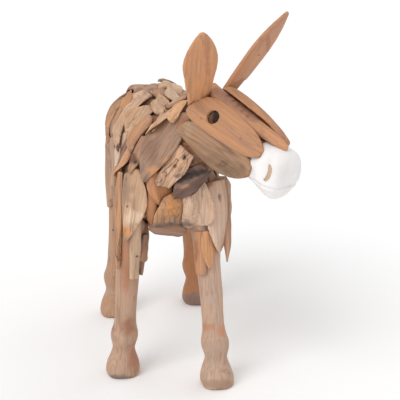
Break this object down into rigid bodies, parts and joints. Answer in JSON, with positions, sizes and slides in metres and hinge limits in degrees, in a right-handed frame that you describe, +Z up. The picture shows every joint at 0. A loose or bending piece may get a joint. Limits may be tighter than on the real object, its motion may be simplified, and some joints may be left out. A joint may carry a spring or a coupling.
{
  "type": "teak donkey sculpture",
  "caption": "Standing donkey figure built of driftwood slabs over an inner form, with carved legs, leaf-shaped ears and a whitened muzzle; it stands on its hooves as a garden ornament.",
  "frame": {"origin": "on the floor under the middle of the figure's bounding box", "axes": "+Z up; -Y the way the body faces; +X the donkey's left, to which the head is turned"},
  "size_m": [0.4448, 0.8362, 0.9159],
  "materials": {
    "dark_teak": "teak, charred dark brown",
    "grey_teak": "teak, weathered grey brown",
    "honey_teak": "teak, orange brown, dry",
    "inner_teak": "raw brown teak, shadowed between the slabs",
    "pale_log": "smooth carved teak log, weathered pinkish tan",
    "pale_teak": "driftwood teak, bleached, open grain",
    "white_paint": "matt whitewash on carved teak"
  },
  "bodies": {
    "root": {"back_left_front": "grey_teak", "back_left_grey": "grey_teak", "back_left_light": "pale_teak", "back_left_rear": "honey_teak", "back_middle": "pale_teak", "back_rear": "grey_teak", "back_right": "pale_teak", "belly_left": "honey_teak", "belly_right": "grey_teak", "brow": "honey_teak", "cheek_left": "grey_teak", "cheek_right": "grey_teak", "chest_dark": "dark_teak", "chest_keel": "honey_teak", "chest_knotty": "pale_teak", "chest_oval": "pale_teak", "chest_strip": "honey_teak", "chest_triangle": "honey_teak", "ear_left": "honey_teak", "ear_right": "honey_teak", "eye_plate_left": "honey_teak", "eye_plate_right": "honey_teak", "flank_left_front": "pale_teak", "flank_left_rear": "pale_teak", "flank_right_edge": "grey_teak", "flank_right_long": "pale_teak", "flank_right_orange": "honey_teak", "flank_right_rear": "honey_teak", "flank_right_rib": "pale_teak", "flank_right_spotted": "honey_teak", "flank_right_stripe": "honey_teak", "flank_right_tan": "pale_teak", "flank_right_white": "pale_teak", "inner_body": "inner_teak", "leg_front_left": "pale_log", "leg_front_right": "pale_log", "leg_hind_left": "pale_log", "leg_hind_right": "pale_log", "leg_strip_left_inner": "honey_teak", "leg_strip_left_outer": "honey_teak", "leg_strip_right_inner": "grey_teak", "leg_strip_right_pale": "pale_teak", "muzzle": "white_paint", "neck_crest": "grey_teak", "neck_left": "grey_teak", "neck_right_crest": "pale_teak", "neck_right_leaf": "pale_teak", "neck_right_shield": "grey_teak", "rump": "grey_teak", "rump_top": "grey_teak", "shoulder_left_point": "honey_teak", "shoulder_left_shield": "pale_teak", "shoulder_left_side": "pale_teak", "shoulder_right_knot": "pale_teak", "shoulder_right_long": "honey_teak", "shoulder_right_rear": "grey_teak", "shoulder_right_shield": "pale_teak", "thigh_left": "pale_teak", "thigh_right": "grey_teak"}
  },
  "joints": []
}
